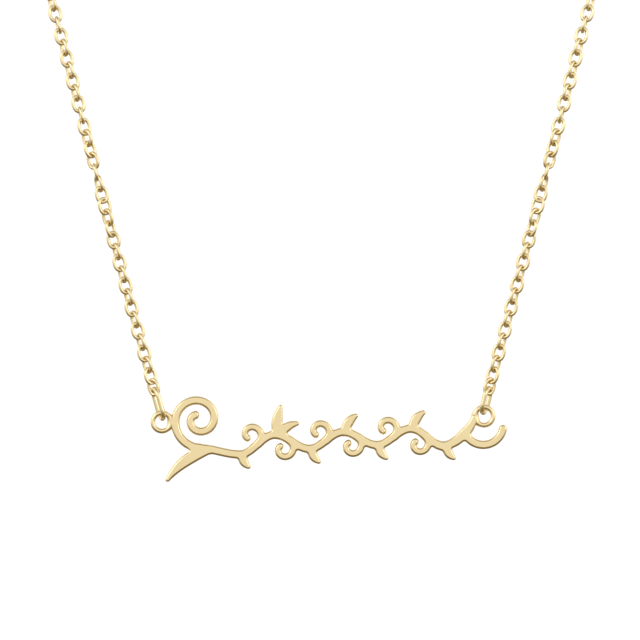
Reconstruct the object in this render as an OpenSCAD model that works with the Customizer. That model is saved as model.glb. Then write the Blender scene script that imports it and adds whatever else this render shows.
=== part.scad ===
// Necklace with a pierced ornament plate, worn form: the loop is open for the neck.
// Millimetres. Origin: the nape, where the back of the loop bears on the neck.
// +Z is up, +X is to the right seen from the front, and the front is at -Y.

/* [Plate] */
// Thickness of the plate
plate_t = 1.0; // [0.8:0.1:1.2]
// Half width of the running stem
stem_h = 0.46; // [0.40:0.02:0.48]
// Half width of the curls where they leave the stem
curl_h = 0.40; // [0.36:0.02:0.42]
// Radius that fills the inner corners between strokes
fillet_r = 0.14; // [0.06:0.02:0.16]

/* [Eyelets and jump rings] */
// Wire radius of the two soldered eyelets
eyelet_wire_r = 0.26; // [0.22:0.01:0.26]
// Radius of an eyelet's middle line
eyelet_r = 0.97; // [0.96:0.01:1.00]
// Wire radius of the jump rings
jump_wire_r = 0.25; // [0.22:0.01:0.26]
// Half width of a jump ring, at its wire's middle line
jump_half_w = 0.90; // [0.84:0.02:0.92]
// Length of the left jump ring's straight sides
jump_straight_left = 1.50; // [1.20:0.10:1.80]
// Length of the right jump ring's straight sides
jump_straight_right = 0.90; // [0.80:0.10:1.40]
// Gap between a jump ring and the eyelet wire that hangs in it
jump_gap = 0.12; // [0.04:0.02:0.14]

/* [Chain] */
// Outer diameter of the chain over its links
chain_d = 1.50; // [1.30:0.05:1.60]
// Gap between a chain's end and its neighbour
end_gap = 0.12; // [0.08:0.02:0.20]

/* [Clasp] */
// Radius of the clasp ring's middle line
clasp_r = 2.25; // [2.10:0.05:2.40]
// Wire radius of the clasp ring
clasp_wire_r = 0.50; // [0.40:0.05:0.60]
// Middle-line radius of the two small eyes on the clasp ring
clasp_eye_r = 0.75; // [0.70:0.05:0.80]
// Wire radius of those eyes
clasp_eye_wire_r = 0.25; // [0.20:0.05:0.30]

/* [Hidden] */
gold = [0.90, 0.80, 0.58];
chain_gold = [0.86, 0.74, 0.47];

// Where the plate's own origin lies. Plate coordinates are u to the right and v up, in its middle plane.
plate_at = [0.94, -112, -99];

// Stem: its lowest and highest points from left to right. Columns: u, v.
stem_turns = [
    [-14.0, -1.10], [-9.6, -1.75], [-5.9, 0.35], [-2.2, -1.15],
    [1.4, 0.65], [5.0, -0.75], [8.6, 1.00], [12.1, -0.85]
];
// Stroke that climbs from the last trough to the right eyelet. Columns: u, v, half width.
climb = [[11.5, -0.72, 0.42], [12.2, -0.85, 0.46], [13.4, -0.35, 0.53], [14.4, 0.55, 0.56], [15.1, 1.45, 0.46], [15.38, 2.25, 0.30]];
// Curls, over the troughs and under the crests. Columns: where each leaves the stem (u), side (1 over, -1 under), its heading, its first radius, its last radius, its sweep.
curls = [
    [-7.60, 1, 44, 1.22, 0.52, 265],
    [-4.20, -1, 40, 1.15, 0.50, 265],
    [-0.35, 1, 42, 1.20, 0.52, 265],
    [3.05, -1, 40, 1.15, 0.50, 265],
    [6.85, 1, 42, 1.20, 0.52, 265],
    [10.20, -1, 40, 1.12, 0.50, 262]
];
// Leaves. Columns: where the root sits on the stem (u), heading, length, full width, bend.
leaves = [
    [-5.7, 82, 3.00, 1.20, 0.05],
    [-5.3, 36, 2.20, 1.00, 0.14],
    [1.6, 56, 2.10, 1.10, 0.12],
    [8.8, 56, 2.10, 1.10, 0.12],
    [-9.4, -62, 1.50, 1.00, -0.12],
    [-2.0, -60, 1.60, 1.00, -0.12],
    [5.2, -60, 1.60, 1.00, -0.12],
    [12.4, -58, 1.50, 1.00, -0.12],
    [-12.6, -146, 5.70, 1.30, -0.10]
];
// Spirals. Columns: centre u, centre v, first radius, last radius, first angle, sweep, how fast it closes.
volute = [-14.0, 1.95, 3.05, 0.66, -90, -500, 0.85];
tail = [16.35, 1.42, 2.15, 2.15, -152, 140, 1];

// Eyelets: centres in plate coordinates, and how far from its top each one hangs.
eyelet_left_at = [-17.94, 1.71];
eyelet_right_at = [16.44, 2.34];
hang_left = -6;
hang_right = 3;
// Jump rings: the lean from upright, and the turn from edge-on that sets the back side away from the middle.
lean_left = -16;
lean_right = 14;
turn_left = -17;
turn_right = 20;

// Middle line of the chain from the top of the straight front strand to the clasp, right side, in order.
route_points = [
    [21, -112, -82.3], [25, -112, -66.9], [29, -111, -51.6], [32.2, -108.3, -41.3],
    [39.2, -98, -32.5], [48, -83, -26.5], [54, -67, -21.5], [56, -49, -16],
    [51, -30, -9], [39, -14, -4], [22, -4, -1]
];
// A point inside the loop that each ring of the tube faces away from.
loop_middle = [0, -55, -10];
// Rings along each chain, and sides of the tube.
chain_rings = 39;
chain_sides = 8;

function add3(a, b) = [a[0] + b[0], a[1] + b[1], a[2] + b[2]];
function to_row(p) = [plate_at[0] + p[0], plate_at[1], plate_at[2] + p[1]];
function lean_dir(a) = [sin(a), 0, cos(a)];
// Middle of the eyelet wire that hangs in a jump ring.
function rim(c, a) = add3(to_row(c), eyelet_r * lean_dir(a));
jump_drop = eyelet_wire_r + jump_wire_r + jump_gap;
// Length of a jump ring along its middle line, and how far up from the eyelet wire a chain starts.
function reach(l) = jump_half_w * 2 + l;
function chain_start(l) = reach(l) - jump_drop + jump_wire_r + end_gap;
clasp_eye_x = clasp_r + clasp_wire_r + clasp_eye_r - 0.20;
clasp_end_x = clasp_eye_x + clasp_eye_r + clasp_eye_wire_r + end_gap;

// Height of the stem's middle line at u.
function ease(t) = (1 - cos(180 * t)) / 2;
function stem_v(u, i = 0) =
    i > len(stem_turns) - 2 ? stem_turns[len(stem_turns) - 1][1] :
    u <= stem_turns[i + 1][0] ?
        stem_turns[i][1] + (stem_turns[i + 1][1] - stem_turns[i][1])
        * ease((u - stem_turns[i][0]) / (stem_turns[i + 1][0] - stem_turns[i][0])) :
    stem_v(u, i + 1);
function stem_line(n = 8) = [
    for (i = [0:len(stem_turns) - 2], j = [0:n - (i == len(stem_turns) - 2 ? 0 : 1)])
        let (u = stem_turns[i][0] + (stem_turns[i + 1][0] - stem_turns[i][0]) * j / n)
        [u, stem_v(u), stem_h]
];
// Spiral from radius r0 to r1, with its half width going from h0 to h1.
function spiral(c, r0, r1, a0, sweep, h0, h1, k = 1, n = 30) = [
    for (i = [0:n]) let (t = i / n, a = a0 + sweep * t, r = r0 + (r1 - r0) * pow(t, k))
        [c[0] + r * cos(a), c[1] + r * sin(a), h0 + (h1 - h0) * t]
];
// Bent almond leaf from its root outwards.
function leaf(p, a, l, w, b, root = 0.26, tip = 0.25, n = 9) = [
    for (i = [0:n]) let (t = i / n, s = 4 * b * l * t * (1 - t), m = (root + tip) / 2)
        [p[0] + cos(a) * l * t - sin(a) * s, p[1] + sin(a) * l * t + cos(a) * s,
         root + (tip - root) * t + (w / 2 - m) * sin(180 * pow(t, 0.85))]
];
// Smooth curve through points of any dimension, n steps for each span.
function past(p, i) = i < 0 ? 2 * p[0] - p[1] : i >= len(p) ? 2 * p[len(p) - 1] - p[len(p) - 2] : p[i];
function smooth(p, n) = [
    for (i = [0:len(p) - 2], j = [0:n - (i == len(p) - 2 ? 0 : 1)])
        let (t = j / n, a = past(p, i - 1), b = p[i], c = p[i + 1], d = past(p, i + 2))
        0.5 * (2 * b + (c - a) * t + (2 * a - 5 * b + 4 * c - d) * t * t + (3 * b - 3 * c + d - a) * t * t * t)
];

// A flat stroke along [u, v, half width] points, with round ends.
module stroke(p) {
    n = len(p);
    d = [for (i = [0:n - 1]) let (a = p[max(i - 1, 0)], b = p[min(i + 1, n - 1)], e = [b[0] - a[0], b[1] - a[1]]) e / norm(e)];
    polygon(concat(
        [for (i = [0:n - 1]) [p[i][0] - d[i][1] * p[i][2], p[i][1] + d[i][0] * p[i][2]]],
        [for (i = [n - 1:-1:0]) [p[i][0] + d[i][1] * p[i][2], p[i][1] - d[i][0] * p[i][2]]]
    ));
    for (e = [p[0], p[n - 1]]) translate([e[0], e[1]]) circle(r = e[2], $fn = 16);
}

module ornament_2d() {
    offset(r = -fillet_r, $fn = 16) offset(delta = fillet_r) {
        stroke(stem_line());
        stroke(smooth(climb, 4));
        stroke(spiral([tail[0], tail[1]], tail[2], tail[3], tail[4], tail[5], 0.46, 0.45, tail[6], 16));
        coil = spiral([volute[0], volute[1]], volute[2], volute[3], volute[4], volute[5], 0.47, 0.42, volute[6], 48);
        stroke(coil);
        translate([coil[48][0], coil[48][1]]) circle(r = 0.48, $fn = 20);
        for (c = curls) {
            m = [c[0] - c[3] * sin(c[2]), stem_v(c[0]) + c[1] * c[3] * cos(c[2])];
            line = [for (p = spiral([0, 0], c[3], c[4], c[2] - 90, c[5], curl_h, 0.35, 1, 20)) [m[0] + p[0], m[1] + c[1] * p[1], p[2]]];
            stroke(line);
            translate([line[20][0], line[20][1]]) circle(r = 0.40, $fn = 20);
        }
        for (f = leaves) stroke(leaf([f[0], stem_v(f[0])], f[1], f[2], f[3], f[4], f[2] > 5 ? 0.32 : 0.26));
    }
}

module eyelet() {
    rotate([90, 0, 0]) rotate_extrude($fn = 64) translate([eyelet_r, 0]) circle(r = eyelet_wire_r, $fn = 32);
}

module nameplate() {
    color(gold) translate(plate_at) {
        rotate([90, 0, 0]) translate([0, 0, -plate_t / 2]) linear_extrude(height = plate_t) ornament_2d();
        for (c = [eyelet_left_at, eyelet_right_at]) translate([c[0], 0, c[1]]) eyelet();
    }
}

// Long oval ring about the origin, upright and face-on, with straight sides of length l.
module oval_ring(l) {
    rotate([90, 0, 0]) for (s = [0, 180]) rotate([0, 0, s]) {
        translate([0, l / 2, 0])
            rotate_extrude(angle = 180, $fn = 64) translate([jump_half_w, 0]) circle(r = jump_wire_r, $fn = 32);
        translate([jump_half_w, -l / 2, 0])
            rotate([-90, 0, 0]) cylinder(r = jump_wire_r, h = l, $fn = 32);
    }
}

// Jump ring whose lower bend holds the eyelet wire at point r, leaning by a and turned from edge-on by b.
module jump_ring(r, a, b, l) {
    color(chain_gold) translate(add3(r, (reach(l) / 2 - jump_drop) * lean_dir(a)))
        rotate([0, a, 0]) rotate([0, 0, 90 - b]) oval_ring(l);
}
module jump_ring_left() { jump_ring(rim(eyelet_left_at, hang_left), lean_left, turn_left, jump_straight_left); }
module jump_ring_right() { jump_ring(rim(eyelet_right_at, hang_right), lean_right, turn_right, jump_straight_right); }

// One tube along points p, its rings facing away from the loop's middle.
module tube(p, r) {
    n = len(p);
    dir = [for (i = [0:n - 1]) let (e = p[min(i + 1, n - 1)] - p[max(i - 1, 0)]) e / norm(e)];
    side = [for (i = [0:n - 1]) let (o = p[i] - loop_middle, e = o - (o * dir[i]) * dir[i]) e / norm(e)];
    pts = [for (i = [0:n - 1], j = [0:chain_sides - 1])
        let (a = 360 * j / chain_sides) p[i] + r * (cos(a) * side[i] + sin(a) * cross(dir[i], side[i]))];
    faces = concat(
        [for (i = [0:n - 2], j = [0:chain_sides - 1])
            let (k = (j + 1) % chain_sides, a = i * chain_sides + j, b = i * chain_sides + k) [a, a + chain_sides, b]],
        [for (i = [0:n - 2], j = [0:chain_sides - 1])
            let (k = (j + 1) % chain_sides, a = i * chain_sides + j, b = i * chain_sides + k) [b, a + chain_sides, b + chain_sides]],
        [for (j = [1:chain_sides - 2]) [0, j, j + 1]],
        [for (j = [1:chain_sides - 2]) let (e = (n - 1) * chain_sides) [e, e + j + 1, e + j]]
    );
    polyhedron(points = pts, faces = faces);
}

// Points of a curve spaced evenly along it.
function lengths(p, i = 0, s = 0) = i == len(p) - 1 ? [s] : concat([s], lengths(p, i + 1, s + norm(p[i + 1] - p[i])));
function point_at(p, l, s, i = 0) = i >= len(p) - 2 || l[i + 1] >= s ?
    p[i] + (p[i + 1] - p[i]) * (s - l[i]) / (l[i + 1] - l[i]) : point_at(p, l, s, i + 1);
function even(p, n) = let (l = lengths(p), all = l[len(l) - 1]) [for (i = [0:n - 1]) point_at(p, l, all * i / (n - 1))];

function side_route(r, a, m, l) = concat(
    [add3(r, chain_start(l) * lean_dir(a))],
    [for (p = route_points) [m * p[0], p[1], p[2]]],
    [[m * clasp_end_x, 0, 0]]
);
module chain(r, a, m, l) { color(chain_gold) tube(even(smooth(side_route(r, a, m, l), 16), chain_rings), chain_d / 2); }
module chain_left() { chain(rim(eyelet_left_at, hang_left), lean_left, -1, jump_straight_left); }
module chain_right() { chain(rim(eyelet_right_at, hang_right), lean_right, 1, jump_straight_right); }

module clasp() {
    color(chain_gold) rotate([90, 0, 0]) {
        rotate_extrude($fn = 96) translate([clasp_r, 0]) circle(r = clasp_wire_r, $fn = 32);
        for (m = [-1, 1]) translate([m * clasp_eye_x, 0, 0])
            rotate_extrude($fn = 64) translate([clasp_eye_r, 0]) circle(r = clasp_eye_wire_r, $fn = 32);
    }
}

nameplate();
jump_ring_left();
jump_ring_right();
chain_left();
chain_right();
clasp();
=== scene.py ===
# Looks for a plate necklace in its worn form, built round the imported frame.
# Metres in Blender. The shape functions below work in millimetres, in the frame's own axes.
import math

import bpy
import numpy as np
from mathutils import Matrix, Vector, geometry


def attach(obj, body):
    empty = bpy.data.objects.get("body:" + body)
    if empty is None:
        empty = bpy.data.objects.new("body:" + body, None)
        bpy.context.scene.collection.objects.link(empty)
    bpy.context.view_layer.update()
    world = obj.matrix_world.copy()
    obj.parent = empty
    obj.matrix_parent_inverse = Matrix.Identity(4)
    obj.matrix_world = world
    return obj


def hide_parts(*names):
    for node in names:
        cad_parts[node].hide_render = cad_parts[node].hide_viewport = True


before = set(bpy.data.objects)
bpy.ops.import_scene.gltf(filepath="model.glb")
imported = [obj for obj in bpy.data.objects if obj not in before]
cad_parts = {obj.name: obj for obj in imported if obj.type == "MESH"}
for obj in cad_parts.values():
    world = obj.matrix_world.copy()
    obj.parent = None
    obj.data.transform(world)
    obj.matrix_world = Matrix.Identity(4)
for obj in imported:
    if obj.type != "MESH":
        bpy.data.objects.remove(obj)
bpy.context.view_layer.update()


MM = 0.001

# ---------------------------------------------------------------- dimensions, as in the CAD source
PLATE_AT = np.array([0.94, -112.0, -99.0])
PLATE_T = 1.0
STEM_H = 0.46
CURL_H = 0.40
EYELET_WIRE_R = 0.26
EYELET_R = 0.97
JUMP_WIRE_R = 0.25
JUMP_HALF_W = 0.90
JUMP_STRAIGHT = {"left": 1.50, "right": 0.90}
JUMP_GAP = 0.12
END_GAP = 0.12
EYELETS = {"left": (-17.94, 1.71), "right": (16.44, 2.34)}
HANG = {"left": -6.0, "right": 3.0}
LEAN = {"left": -16.0, "right": 14.0}
TURN = {"left": -17.0, "right": 20.0}
JUMP_DROP = EYELET_WIRE_R + JUMP_WIRE_R + JUMP_GAP
JUMP_REACH = {side: 2 * JUMP_HALF_W + s for side, s in JUMP_STRAIGHT.items()}
CHAIN_START = {side: s - JUMP_DROP + JUMP_WIRE_R + END_GAP for side, s in JUMP_REACH.items()}
CLASP_END_X = 4.42

STEM_TURNS = [
    (-14.0, -1.10), (-9.6, -1.75), (-5.9, 0.35), (-2.2, -1.15),
    (1.4, 0.65), (5.0, -0.75), (8.6, 1.00), (12.1, -0.85),
]
CLIMB = [(11.5, -0.72, 0.42), (12.2, -0.85, 0.46), (13.4, -0.35, 0.53), (14.4, 0.55, 0.56), (15.1, 1.45, 0.46), (15.38, 2.25, 0.30)]
CURLS = [
    (-7.60, 1, 44, 1.22, 0.52, 265), (-4.20, -1, 40, 1.15, 0.50, 265), (-0.35, 1, 42, 1.20, 0.52, 265),
    (3.05, -1, 40, 1.15, 0.50, 265), (6.85, 1, 42, 1.20, 0.52, 265), (10.20, -1, 40, 1.12, 0.50, 262),
]
LEAVES = [
    (-5.7, 82, 3.00, 1.20, 0.05), (-5.3, 36, 2.20, 1.00, 0.14), (1.6, 56, 2.10, 1.10, 0.12),
    (8.8, 56, 2.10, 1.10, 0.12), (-9.4, -62, 1.50, 1.00, -0.12), (-2.0, -60, 1.60, 1.00, -0.12),
    (5.2, -60, 1.60, 1.00, -0.12), (12.4, -58, 1.50, 1.00, -0.12), (-12.6, -146, 5.70, 1.30, -0.10),
]
VOLUTE = (-14.0, 1.95, 3.05, 0.66, -90, -500, 0.85)
TAIL = (16.35, 1.42, 2.15, 2.15, -152, 140, 1.0)
ROUTE = [
    (21, -112, -82.3), (25, -112, -66.9), (29, -111, -51.6), (32.2, -108.3, -41.3), (39.2, -98, -32.5),
    (48, -83, -26.5), (54, -67, -21.5), (56, -49, -16), (51, -30, -9), (39, -14, -4), (22, -4, -1),
]


def lean_dir(a):
    a = math.radians(a)
    return np.array([math.sin(a), 0.0, math.cos(a)])


def rim(side):
    u, v = EYELETS[side]
    return PLATE_AT + np.array([u, 0.0, v]) + EYELET_R * lean_dir(HANG[side])


# ---------------------------------------------------------------- curves
def catmull(points, n):
    p = [np.array(q, float) for q in points]
    p = [2 * p[0] - p[1]] + p + [2 * p[-1] - p[-2]]
    out = []
    for i in range(1, len(p) - 2):
        for j in range(n):
            t = j / n
            out.append(0.5 * (2 * p[i] + (p[i + 1] - p[i - 1]) * t
                              + (2 * p[i - 1] - 5 * p[i] + 4 * p[i + 1] - p[i + 2]) * t * t
                              + (3 * p[i] - 3 * p[i + 1] + p[i + 2] - p[i - 1]) * t * t * t))
    out.append(p[-2])
    return np.array(out)


def along(points, s):
    """Points at arc lengths s along a polyline."""
    step = np.linalg.norm(np.diff(points, axis=0), axis=1)
    total = np.concatenate([[0.0], np.cumsum(step)])
    return np.stack([np.interp(s, total, points[:, k]) for k in range(points.shape[1])], 1), total[-1]


def stem_v(u):
    for (a, b), (c, d) in zip(STEM_TURNS[:-1], STEM_TURNS[1:]):
        if a <= u <= c:
            return b + (d - b) * (1 - math.cos(math.pi * (u - a) / (c - a))) / 2
    return STEM_TURNS[-1][1]


def spiral(cx, cy, r0, r1, a0, sweep, h0, h1, k=1.0, n=72):
    out = []
    for i in range(n + 1):
        t = i / n
        a = math.radians(a0 + sweep * t)
        r = r0 + (r1 - r0) * t ** k
        out.append((cx + r * math.cos(a), cy + r * math.sin(a), h0 + (h1 - h0) * t))
    return out


def leaf(x, y, heading, length, width, bend, root=0.26, tip=0.25, n=26):
    a = math.radians(heading)
    out = []
    for i in range(n + 1):
        t = i / n
        s = 4 * bend * length * t * (1 - t)
        h = root + (tip - root) * t + (width / 2 - (root + tip) / 2) * math.sin(math.pi * t ** 0.85)
        out.append((x + math.cos(a) * length * t - math.sin(a) * s, y + math.sin(a) * length * t + math.cos(a) * s, h))
    return out


def strokes():
    """Every stroke of the ornament as (u, v, half width) points."""
    all_strokes = []
    line = []
    for (a, b), (c, d) in zip(STEM_TURNS[:-1], STEM_TURNS[1:]):
        for i in range(24):
            u = a + (c - a) * i / 24
            line.append((u, stem_v(u), STEM_H))
    line.append((*STEM_TURNS[-1], STEM_H))
    all_strokes.append(line)
    all_strokes.append([tuple(q) for q in catmull(CLIMB, 12)])
    all_strokes.append(spiral(TAIL[0], TAIL[1], TAIL[2], TAIL[3], TAIL[4], TAIL[5], 0.46, 0.45, TAIL[6], 40))
    coil = spiral(VOLUTE[0], VOLUTE[1], VOLUTE[2], VOLUTE[3], VOLUTE[4], VOLUTE[5], 0.47, 0.42, VOLUTE[6], 150)
    all_strokes.append(coil + [(coil[-1][0] + 1e-3, coil[-1][1], 0.48)])
    for u, side, heading, r0, r1, sweep in CURLS:
        h = math.radians(heading)
        cx, cy = u - r0 * math.sin(h), stem_v(u) + side * r0 * math.cos(h)
        turn = [(cx + x, cy + side * y, w) for x, y, w in spiral(0, 0, r0, r1, heading - 90, sweep, CURL_H, 0.35, 1.0, 60)]
        all_strokes.append(turn + [(turn[-1][0] + 1e-3, turn[-1][1], 0.40)])
    for u, heading, length, width, bend in LEAVES:
        all_strokes.append(leaf(u, stem_v(u), heading, length, width, bend, root=0.32 if length > 5 else 0.26))
    return all_strokes


# ---------------------------------------------------------------- mesh helpers
def make_object(name, verts_mm, faces, normals=None, smooth=True):
    mesh = bpy.data.meshes.new(name)
    mesh.from_pydata((np.asarray(verts_mm) * MM).tolist(), [], faces)
    mesh.validate(verbose=False)
    mesh.update()
    if smooth:
        mesh.polygons.foreach_set("use_smooth", [True] * len(mesh.polygons))
    if normals is not None:
        mesh.normals_split_custom_set_from_vertices([tuple(n) for n in normals])
    obj = bpy.data.objects.new(name, mesh)
    bpy.context.scene.collection.objects.link(obj)
    return obj


def sweep_tube(path, radius, sides, closed=True, width_axis=None, ring_scale=None):
    """Tube of round wire along a planar path. width_axis is the plane's normal. Returns verts, faces, normals."""
    n = len(path)
    if closed:
        tangent = np.roll(path, -1, 0) - np.roll(path, 1, 0)
    else:
        tangent = np.gradient(path, axis=0)
    tangent /= np.linalg.norm(tangent, axis=1)[:, None]
    up = np.broadcast_to(width_axis, path.shape)
    out = np.cross(tangent, up)
    out /= np.linalg.norm(out, axis=1)[:, None]
    a = np.linspace(0, 2 * math.pi, sides, endpoint=False)
    r = radius if ring_scale is None else radius * ring_scale[:, None, None]
    normal = np.cos(a)[None, :, None] * out[:, None, :] + np.sin(a)[None, :, None] * up[:, None, :]
    verts = (path[:, None, :] + r * normal).reshape(-1, 3)
    faces = []
    for i in range(n if closed else n - 1):
        k = (i + 1) % n
        for j in range(sides):
            m = (j + 1) % sides
            faces.append((i * sides + j, k * sides + j, k * sides + m, i * sides + m))
    return verts, faces, normal.reshape(-1, 3)


# ---------------------------------------------------------------- plate
STEP = 1 / 36


def ornament_field():
    """Signed distance to the ornament's outline on a grid, negative inside, with filled inner corners."""
    us = np.arange(-18.4, 19.7, STEP)
    vs = np.arange(-4.9, 5.9, STEP)
    U, V = np.meshgrid(us, vs)
    field = None
    for stroke in strokes():
        d = np.full(U.shape, 9.0)
        for (x0, y0, h0), (x1, y1, h1) in zip(stroke[:-1], stroke[1:]):
            pad = max(h0, h1) + 0.7
            i0 = max(int((min(x0, x1) - pad - us[0]) / STEP), 0)
            i1 = min(int((max(x0, x1) + pad - us[0]) / STEP) + 2, len(us))
            j0 = max(int((min(y0, y1) - pad - vs[0]) / STEP), 0)
            j1 = min(int((max(y0, y1) + pad - vs[0]) / STEP) + 2, len(vs))
            X, Y = U[j0:j1, i0:i1], V[j0:j1, i0:i1]
            vx, vy = x1 - x0, y1 - y0
            t = np.clip(((X - x0) * vx + (Y - y0) * vy) / (vx * vx + vy * vy + 1e-12), 0, 1)
            here = np.hypot(X - x0 - vx * t, Y - y0 - vy * t) - (h0 + (h1 - h0) * t)
            d[j0:j1, i0:i1] = np.minimum(d[j0:j1, i0:i1], here)
        if field is None:
            field = d
        else:
            k = 0.24
            h = np.maximum(k - np.abs(field - d), 0) / k
            field = np.minimum(field, d) - h * h * k * 0.25
    return us, vs, field


def outlines(us, vs, field):
    """Closed outlines of the field's zero level, with the inside on the left."""
    inside = field < 0
    links = {}

    def cross_h(j, i):
        t = field[j, i] / (field[j, i] - field[j, i + 1])
        return (us[i] + STEP * t, vs[j])

    def cross_v(j, i):
        t = field[j, i] / (field[j, i] - field[j + 1, i])
        return (us[i], vs[j] + STEP * t)

    code = (inside[:-1, :-1] * 1 + inside[:-1, 1:] * 2 + inside[1:, 1:] * 4 + inside[1:, :-1] * 8)
    # edges of a cell: 0 bottom, 1 right, 2 top, 3 left; each case lists (from, to) with the inside on the left
    cases = {
        1: [(0, 3)], 2: [(1, 0)], 3: [(1, 3)], 4: [(2, 1)], 5: [(0, 3), (2, 1)], 6: [(2, 0)], 7: [(2, 3)],
        8: [(3, 2)], 9: [(0, 2)], 10: [(1, 0), (3, 2)], 11: [(1, 2)], 12: [(3, 1)], 13: [(0, 1)], 14: [(3, 0)],
    }
    place = {}
    for j, i in zip(*np.nonzero((code > 0) & (code < 15))):
        edge = [("h", j, i), ("v", j, i + 1), ("h", j + 1, i), ("v", j, i)]
        for a, b in cases[int(code[j, i])]:
            links[edge[a]] = edge[b]
            for e in (edge[a], edge[b]):
                if e not in place:
                    place[e] = cross_h(e[1], e[2]) if e[0] == "h" else cross_v(e[1], e[2])
    loops = []
    while links:
        start = next(iter(links))
        loop = []
        key = start
        while key in links:
            loop.append(place[key])
            key = links.pop(key)
        loops.append(np.array(loop))
    return loops


def even_loop(loop, spacing):
    closed = np.vstack([loop, loop[:1]])
    step = np.linalg.norm(np.diff(closed, axis=0), axis=1)
    total = np.concatenate([[0.0], np.cumsum(step)])
    n = max(int(round(total[-1] / spacing)), 12)
    s = np.linspace(0, total[-1], n, endpoint=False)
    pts = np.stack([np.interp(s, total, closed[:, 0]), np.interp(s, total, closed[:, 1])], 1)
    for _ in range(2):
        pts = 0.25 * np.roll(pts, 1, 0) + 0.5 * pts + 0.25 * np.roll(pts, -1, 0)
    return pts


def inside_polygon(points, loops):
    """Even-odd test of points against closed loops."""
    hit = np.zeros(len(points), int)
    for loop in loops:
        a, b = loop, np.roll(loop, -1, 0)
        for k in range(0, len(points), 2000):
            p = points[k:k + 2000]
            span = (a[None, :, 1] > p[:, None, 1]) != (b[None, :, 1] > p[:, None, 1])
            with np.errstate(divide="ignore", invalid="ignore"):
                x = a[None, :, 0] + (p[:, None, 1] - a[None, :, 1]) * (b[None, :, 0] - a[None, :, 0]) / (b[None, :, 1] - a[None, :, 1])
            hit[k:k + 2000] += (span & (p[:, None, 0] < x)).sum(1)
    return hit % 2 == 1


EDGE_IN = 0.24
EDGE_DEEP = 0.34
EDGE_STEPS = 8


def sample(field, us, vs, p):
    """The field at points p, between the grid's own."""
    x = np.clip((p[:, 0] - us[0]) / STEP, 0, len(us) - 1.001)
    y = np.clip((p[:, 1] - vs[0]) / STEP, 0, len(vs) - 1.001)
    i, j = x.astype(int), y.astype(int)
    x, y = x - i, y - j
    return ((field[j, i] * (1 - x) + field[j, i + 1] * x) * (1 - y)
            + (field[j + 1, i] * (1 - x) + field[j + 1, i + 1] * x) * y)


def rounding(loop, out, field, us, vs):
    """How far in from the outline the rounded edge reaches, less where a stroke is slim."""
    deepest = np.zeros(len(loop))
    for t in np.arange(0.05, 0.62, 0.03):
        deepest = np.maximum(deepest, -sample(field, us, vs, loop - out * t))
    r = np.minimum(EDGE_IN, 0.80 * deepest)
    low = r.copy()
    for k in range(1, 5):
        low = np.minimum(low, np.minimum(np.roll(r, k), np.roll(r, -k)))
    for _ in range(6):
        low = 0.25 * np.roll(low, 1) + 0.5 * low + 0.25 * np.roll(low, -1)
    return low


def plate_mesh():
    us, vs, field = ornament_field()
    loops = [even_loop(q, 0.062) for q in outlines(us, vs, field) if len(q) > 20]
    verts, normals, faces, face_loops, base = [], [], [], [], 0
    flat_points, flat_edges, flat_index = [], [], []
    for loop in loops:
        n = len(loop)
        tangent = np.roll(loop, -2, 0) + np.roll(loop, -1, 0) - np.roll(loop, 1, 0) - np.roll(loop, 2, 0)
        tangent /= np.linalg.norm(tangent, axis=1)[:, None]
        out = np.stack([tangent[:, 1], -tangent[:, 0]], 1)
        inset = rounding(loop, out, field, us, vs)
        rings = []
        for side in (-1, 1):
            order = range(EDGE_STEPS, -1, -1) if side < 0 else range(EDGE_STEPS + 1)
            for k in order:
                f = math.pi / 2 * k / EDGE_STEPS
                tilt = math.atan2(EDGE_DEEP * math.cos(f), EDGE_IN * math.sin(f))
                rings.append((side, 1 - math.cos(f), PLATE_T / 2 - EDGE_DEEP * (1 - math.sin(f)), tilt))
        for side, part, depth, tilt in rings:
            p = loop - out * (inset * part)[:, None]
            verts.append(np.stack([p[:, 0], np.full(n, side * depth), p[:, 1]], 1))
            normals.append(np.stack([out[:, 0] * math.sin(tilt), np.full(n, side * math.cos(tilt)), out[:, 1] * math.sin(tilt)], 1))
        count = len(rings)
        for r in range(count - 1):
            for i in range(n):
                k = (i + 1) % n
                a = base + r * n
                faces.append((a + i, a + n + i, a + n + k, a + k))
        inner = loop - out * inset[:, None]
        face_loops.append(inner)
        start = len(flat_points)
        flat_points += [Vector(q) for q in inner.tolist()]
        flat_edges += [(start + i, start + (i + 1) % n) for i in range(n)]
        flat_index += [(base + i, base + (count - 1) * n + i) for i in range(n)]
        base += count * n
    cdt = geometry.delaunay_2d_cdt(flat_points, flat_edges, [], 0, 1e-7, True)
    out_points, tris, origin = cdt[0], cdt[2], cdt[3]
    ids = [o[0] if o else None for o in origin]
    flat = np.array([tuple(q) for q in out_points])
    tris = [t for t in tris if all(ids[k] is not None for k in t)]
    middle = np.array([flat[list(t)].mean(0) for t in tris])
    keep = inside_polygon(middle, face_loops)
    for t, ok in zip(tris, keep):
        if not ok:
            continue
        a, b, c = (ids[k] for k in t)
        faces.append((flat_index[a][0], flat_index[b][0], flat_index[c][0]))
        faces.append((flat_index[c][1], flat_index[b][1], flat_index[a][1]))
    for side in ("left", "right"):
        u, v = EYELETS[side]
        a = np.linspace(0, 2 * math.pi, 72, endpoint=False)
        path = np.stack([u + EYELET_R * np.cos(a), 0 * a, v + EYELET_R * np.sin(a)], 1)
        # the solder swells the wire where it runs into the plate
        near = np.clip(1 - sample(field, us, vs, path[:, [0, 2]]) / 0.55, 0, 1)
        for _ in range(3):
            near = 0.25 * np.roll(near, 1) + 0.5 * near + 0.25 * np.roll(near, -1)
        swell = 1 + 0.62 * np.minimum(near, 1.0) ** 2
        tv, tf, tn = sweep_tube(path, EYELET_WIRE_R, 24, True, np.array([0.0, -1.0, 0.0]), swell)
        verts.append(tv)
        normals.append(tn)
        faces += [tuple(base + q for q in f) for f in tf]
        base += len(tv)
    verts = np.vstack(verts) + PLATE_AT
    normals = np.vstack(normals)
    return verts, faces, normals


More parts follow.
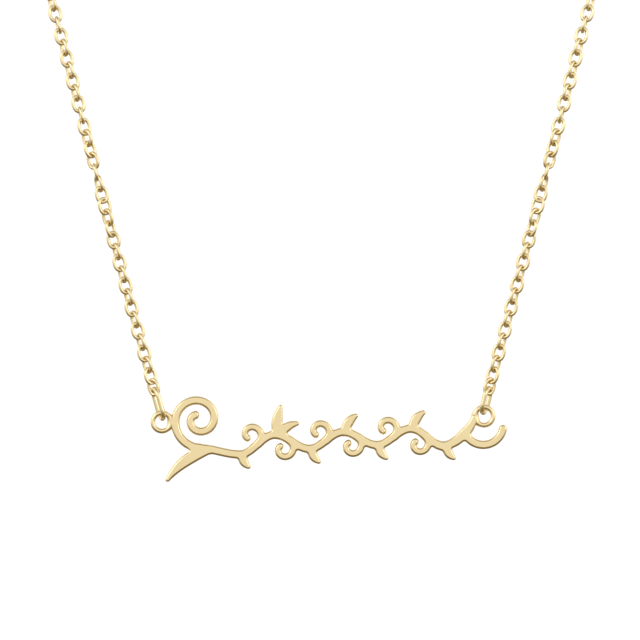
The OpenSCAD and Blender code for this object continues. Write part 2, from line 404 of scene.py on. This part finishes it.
# ---------------------------------------------------------------- jump rings
def jump_ring_mesh(side, sides=24):
    """Long oval ring of round wire, butted at a fine seam at the back of its top bend."""
    r, half = JUMP_HALF_W, JUMP_STRAIGHT[side] / 2
    cut, seam = 0.55, 0.012
    end = seam / 2 / r
    high = np.linspace(cut + end, math.pi, 36)
    low = np.linspace(math.pi, 2 * math.pi, 40)
    last = np.linspace(0, cut - end, 10)
    leg = np.linspace(half, -half, 22)[1:-1]
    flat = np.vstack([
        np.stack([r * np.cos(high), half + r * np.sin(high)], 1),
        np.stack([np.full(len(leg), -r), leg], 1),
        np.stack([r * np.cos(low), -half + r * np.sin(low)], 1),
        np.stack([np.full(len(leg), r), -leg], 1),
        np.stack([r * np.cos(last), half + r * np.sin(last)], 1),
    ])
    b, lean = math.radians(TURN[side]), LEAN[side]
    axis = lean_dir(lean)
    # the width runs from front to back, turned by TURN about the upright, then leaned
    w0 = np.array([math.sin(b), math.cos(b), 0.0])
    q = math.radians(lean)
    width = np.array([w0[0] * math.cos(q), w0[1], -w0[0] * math.sin(q)])
    centre = rim(side) + (JUMP_REACH[side] / 2 - JUMP_DROP) * axis
    path = centre + flat[:, :1] * width + flat[:, 1:] * axis
    plane = np.cross(width, axis)
    n = len(path)
    scale = np.ones(n)
    scale[0] = scale[-1] = 0.90
    scale[1] = scale[-2] = 1.0
    path[1] = path[0] + 0.03 * (path[1] - path[0]) / np.linalg.norm(path[1] - path[0])
    path[-2] = path[-1] + 0.03 * (path[-2] - path[-1]) / np.linalg.norm(path[-2] - path[-1])
    verts, faces, normals = sweep_tube(path, JUMP_WIRE_R, sides, False, plane, scale)
    faces.append(tuple(range(sides)))
    faces.append(tuple((n - 1) * sides + j for j in range(sides - 1, -1, -1)))
    return verts, faces


# ---------------------------------------------------------------- chains
LINK_LONG = 2.00
LINK_WIDE = 1.50
LINK_WIRE = 0.38
LINK_PITCH = 1.2487
OPEN = 10
EDGE_ON = -60
SLACK = 0.19
# Turn of each link about the chain, from face-on, where the chain twists.
LINK_TURNS = {
    0: -30, 1: 28, 2: -52, 12: -66, 13: -6, 14: 53, 15: -40, 16: 17, 19: -90,
    20: -30, 21: 38, 22: -45, 23: 15, 24: -80, 32: -80,
}


def link_turn(i):
    if i in LINK_TURNS:
        return LINK_TURNS[i]
    if i <= 34:
        return OPEN if i % 2 else EDGE_ON
    ease = min((i - 34) / 20, 1)
    drift = 14 * math.sin(0.11 * (i - 34)) * ease
    return (OPEN * (1 - ease) if i % 2 else EDGE_ON - (90 + EDGE_ON) * ease) + drift


def chain_mesh(side):
    m = -1 if side == "left" else 1
    start = rim(side) + CHAIN_START[side] * lean_dir(LEAN[side])
    route = catmull([start] + [(m * x, y, z) for x, y, z in ROUTE] + [(m * CLASP_END_X, 0, 0)], 40)
    _, total = along(route, np.array([0.0]))
    wire = LINK_WIRE / 2
    a, w = LINK_LONG / 2 - wire, LINK_WIDE / 2 - wire
    # the first link sits in the jump ring's top bend, and the last in the clasp's eye
    first = JUMP_REACH[side] - JUMP_DROP - JUMP_WIRE_R - wire - SLACK + a - CHAIN_START[side]
    last_x = 4.05 - 0.25 - wire - 0.02 + a
    usable = total - first - (last_x - CLASP_END_X)
    n = int(round(usable / LINK_PITCH)) + 1
    s = np.linspace(first, first + usable, n)
    centre, _ = along(route, np.clip(s, 0, total))
    lead = (route[1] - route[0]) / np.linalg.norm(route[1] - route[0])
    tail = (route[-1] - route[-2]) / np.linalg.norm(route[-1] - route[-2])
    for i in range(n):
        if s[i] < 0:
            centre[i] = route[0] + lead * s[i]
        if s[i] > total:
            centre[i] = route[-1] + tail * (s[i] - total)
    tangent = np.gradient(centre, axis=0)
    tangent /= np.linalg.norm(tangent, axis=1)[:, None]
    tangent[0] = lean_dir(LEAN[side])
    front = np.tile(np.array([0.0, -1.0, 0.0]), (n, 1))
    away = centre - np.array([0.0, -55.0, -10.0])
    away -= (away * tangent).sum(1)[:, None] * tangent
    away /= np.linalg.norm(away, axis=1)[:, None]
    blend = np.clip((s - 44) / 40, 0, 1)
    blend = (blend * blend * (3 - 2 * blend))[:, None]
    face = front * (1 - blend) + away * blend
    face -= (face * tangent).sum(1)[:, None] * tangent
    face /= np.linalg.norm(face, axis=1)[:, None]
    across = np.cross(face, tangent) * (1 if m > 0 else -1)
    outward = np.sign((across[:1] * np.array([m, 0, 0])).sum())
    across *= outward
    # one link's centre line, an oval with full shoulders
    fine = np.linspace(0, 2 * math.pi, 721)
    c, d = np.cos(fine), np.sin(fine)
    fine = np.stack([w * np.sign(c) * abs(c) ** 0.86, a * np.sign(d) * abs(d) ** 0.86], 1)
    _, round_trip = along(fine, np.array([0.0]))
    count, sides = 30, 12
    flat, _ = along(fine, np.linspace(0, round_trip, count, endpoint=False))
    flat_t = np.roll(flat, -1, 0) - np.roll(flat, 1, 0)
    flat_t /= np.linalg.norm(flat_t, axis=1)[:, None]
    flat_n = np.stack([flat_t[:, 1], -flat_t[:, 0]], 1)
    q = np.linspace(0, 2 * math.pi, sides, endpoint=False)
    local_n = np.zeros((count, sides, 3))
    local_n[:, :, 0] = flat_n[:, :1] * np.cos(q)[None, :]
    local_n[:, :, 1] = flat_n[:, 1:] * np.cos(q)[None, :]
    local_n[:, :, 2] = np.sin(q)[None, :]
    local = np.zeros((count, sides, 3))
    local[:, :, :2] = flat[:, None, :]
    local = (local + wire * local_n).reshape(-1, 3)
    ring_faces = []
    for i in range(count):
        k = (i + 1) % count
        for j in range(sides):
            l = (j + 1) % sides
            ring_faces.append((i * sides + j, k * sides + j, k * sides + l, i * sides + l))
    ring_faces = np.array(ring_faces)
    verts, faces = [], []
    for i in range(n):
        turn = link_turn(i)
        if n - 1 - i < 12:
            back = n - 1 - i
            turn = (90 if back % 2 == 0 else 0) if back < 10 else turn
        f = math.radians(turn)
        wide = math.cos(f) * across[i] + math.sin(f) * face[i]
        deep = np.cross(wide, tangent[i])
        verts.append(centre[i] + local[:, :1] * wide + local[:, 1:2] * tangent[i] + local[:, 2:] * deep)
        faces.append(ring_faces + i * len(local))
    return np.vstack(verts), np.vstack(faces).tolist(), n, float(usable / (n - 1))


# ---------------------------------------------------------------- materials
def gold(name, pale, deep, rough, grain_scale, grain, wave_scale=260.0):
    """Plated gold: a slow drift of tint, a fine grain in the gloss, and faint polishing marks."""
    mat = bpy.data.materials.new(name)
    mat.use_nodes = True
    nt = mat.node_tree
    bsdf = nt.nodes["Principled BSDF"]
    bsdf.inputs["Metallic"].default_value = 1.0
    bsdf.inputs["IOR"].default_value = 1.45
    coords = nt.nodes.new("ShaderNodeTexCoord")
    drift = nt.nodes.new("ShaderNodeTexNoise")
    drift.inputs["Scale"].default_value = wave_scale
    drift.inputs["Detail"].default_value = 3.0
    nt.links.new(coords.outputs["Object"], drift.inputs["Vector"])
    tint = nt.nodes.new("ShaderNodeValToRGB")
    tint.color_ramp.elements[0].position = 0.35
    tint.color_ramp.elements[0].color = (*deep, 1)
    tint.color_ramp.elements[1].position = 0.68
    tint.color_ramp.elements[1].color = (*pale, 1)
    nt.links.new(drift.outputs["Fac"], tint.inputs["Fac"])
    nt.links.new(tint.outputs["Color"], bsdf.inputs["Base Color"])
    fine = nt.nodes.new("ShaderNodeTexNoise")
    fine.inputs["Scale"].default_value = grain_scale
    fine.inputs["Detail"].default_value = 4.0
    nt.links.new(coords.outputs["Object"], fine.inputs["Vector"])
    gloss = nt.nodes.new("ShaderNodeMapRange")
    gloss.inputs["From Min"].default_value = 0.3
    gloss.inputs["From Max"].default_value = 0.7
    gloss.inputs["To Min"].default_value = rough[0]
    gloss.inputs["To Max"].default_value = rough[1]
    nt.links.new(fine.outputs["Fac"], gloss.inputs["Value"])
    nt.links.new(gloss.outputs["Result"], bsdf.inputs["Roughness"])
    bump = nt.nodes.new("ShaderNodeBump")
    bump.inputs["Strength"].default_value = grain
    bump.inputs["Distance"].default_value = 0.00002
    nt.links.new(fine.outputs["Fac"], bump.inputs["Height"])
    nt.links.new(bump.outputs["Normal"], bsdf.inputs["Normal"])
    return mat


plate_gold = gold("plate_gold", (0.878, 0.724, 0.428), (0.853, 0.694, 0.398), (0.24, 0.28), 16000.0, 0.015)
chain_gold = gold("chain_gold", (0.87, 0.74, 0.46), (0.84, 0.69, 0.40), (0.28, 0.34), 4200.0, 0.05)
clasp_gold = gold("clasp_gold", (0.86, 0.71, 0.41), (0.82, 0.66, 0.36), (0.10, 0.18), 4200.0, 0.06)

# ---------------------------------------------------------------- pieces
v, f, nrm = plate_mesh()
plate = make_object("pierced_plate", v, f, nrm)
plate.data.materials.append(plate_gold)
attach(plate, "plate")
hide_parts("nameplate")

for side in ("left", "right"):
    v, f = jump_ring_mesh(side)
    ring = make_object(f"oval_jump_ring_{side}", v, f)
    ring.data.materials.append(chain_gold)
    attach(ring, "loop")
    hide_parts(f"jump_ring_{side}")

    v, f, links, pitch = chain_mesh(side)
    chain = make_object(f"cable_chain_{side}", v, f)
    chain.data.materials.append(chain_gold)
    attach(chain, "loop")
    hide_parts(f"chain_{side}")
    print("links", side, links, "pitch", round(pitch, 4), "triangles", 2 * len(f))

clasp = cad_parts["clasp"]
clasp.data.materials.clear()
clasp.data.materials.append(clasp_gold)

# ---------------------------------------------------------------- floor, light and camera
floor_mesh = bpy.data.meshes.new("studio_floor")
ring_pts = [(0.55 * math.cos(q), -0.055 + 0.55 * math.sin(q), -0.30) for q in np.linspace(0, 2 * math.pi, 96, endpoint=False)]
floor_mesh.from_pydata(ring_pts, [], [tuple(range(96))])
floor = bpy.data.objects.new("studio_floor", floor_mesh)
bpy.context.scene.collection.objects.link(floor)
floor_mat = bpy.data.materials.new("studio_floor")
floor_mat.use_nodes = True
floor_bsdf = floor_mat.node_tree.nodes["Principled BSDF"]
floor_bsdf.inputs["Base Color"].default_value = (0.80, 0.79, 0.77, 1)
floor_bsdf.inputs["Roughness"].default_value = 0.9
floor_mesh.materials.append(floor_mat)
floor.visible_glossy = False

world = bpy.data.worlds.new("studio")
bpy.context.scene.world = world
world.use_nodes = True
wt = world.node_tree
wt.nodes.clear()
coords = wt.nodes.new("ShaderNodeTexCoord")
split = wt.nodes.new("ShaderNodeSeparateXYZ")
wt.links.new(coords.outputs["Generated"], split.inputs["Vector"])
height = wt.nodes.new("ShaderNodeMapRange")
height.inputs["From Min"].default_value = -1.0
height.inputs["From Max"].default_value = 1.0
wt.links.new(split.outputs["Z"], height.inputs["Value"])
ramp = wt.nodes.new("ShaderNodeValToRGB")
stops = [
    (0.0, (0.23, 0.175, 0.08)), (0.19, (0.23, 0.175, 0.08)), (0.34, (0.50, 0.455, 0.35)), (0.41, (0.84, 0.82, 0.77)),
    (0.48, (1.05, 1.04, 1.02)), (0.64, (1.12, 1.12, 1.12)), (0.84, (0.96, 0.94, 0.91)), (0.95, (0.50, 0.46, 0.37)),
    (1.0, (0.42, 0.38, 0.29)),
]
ramp.color_ramp.elements[0].position = stops[0][0]
ramp.color_ramp.elements[0].color = (*stops[0][1], 1)
ramp.color_ramp.elements[1].position = stops[-1][0]
ramp.color_ramp.elements[1].color = (*stops[-1][1], 1)
for pos, val in stops[1:-1]:
    e = ramp.color_ramp.elements.new(pos)
    e.color = (*val, 1)
wt.links.new(height.outputs["Result"], ramp.inputs["Fac"])
light = wt.nodes.new("ShaderNodeBackground")
light.inputs["Strength"].default_value = 1.0
wt.links.new(ramp.outputs["Color"], light.inputs["Color"])
plain = wt.nodes.new("ShaderNodeBackground")
plain.inputs["Color"].default_value = (1, 1, 1, 1)
plain.inputs["Strength"].default_value = 1.05
path = wt.nodes.new("ShaderNodeLightPath")
mix = wt.nodes.new("ShaderNodeMixShader")
wt.links.new(path.outputs["Is Camera Ray"], mix.inputs[0])
wt.links.new(light.outputs["Background"], mix.inputs[1])
wt.links.new(plain.outputs["Background"], mix.inputs[2])
out = wt.nodes.new("ShaderNodeOutputWorld")
wt.links.new(mix.outputs["Shader"], out.inputs["Surface"])


def soft_light(name, place, aim, size, power):
    data = bpy.data.lights.new(name, "AREA")
    data.shape = "DISK"
    data.size = size
    data.energy = power
    obj = bpy.data.objects.new(name, data)
    bpy.context.scene.collection.objects.link(obj)
    obj.location = place
    obj.rotation_euler = (Vector(aim) - Vector(place)).to_track_quat("-Z", "Y").to_euler()
    return obj


soft_light("soft_left", (-0.75, -0.85, 0.35), (0, -0.10, -0.08), 0.5, 1.6)
soft_light("soft_right", (0.85, -0.75, 0.20), (0, -0.10, -0.08), 0.5, 1.2)

cam_data = bpy.data.cameras.new("camera")
cam_data.sensor_width = 36.0
cam_data.lens = 247.7
cam_data.clip_start = 0.01
cam_data.clip_end = 20.0
cam = bpy.data.objects.new("camera", cam_data)
bpy.context.scene.collection.objects.link(cam)
cam.location = (-0.000128, -0.582, -0.08641)
cam.rotation_euler = (math.pi / 2, 0, 0)
bpy.context.scene.camera = cam

bpy.context.scene.view_settings.view_transform = "Standard"
bpy.context.scene.view_settings.look = "None"
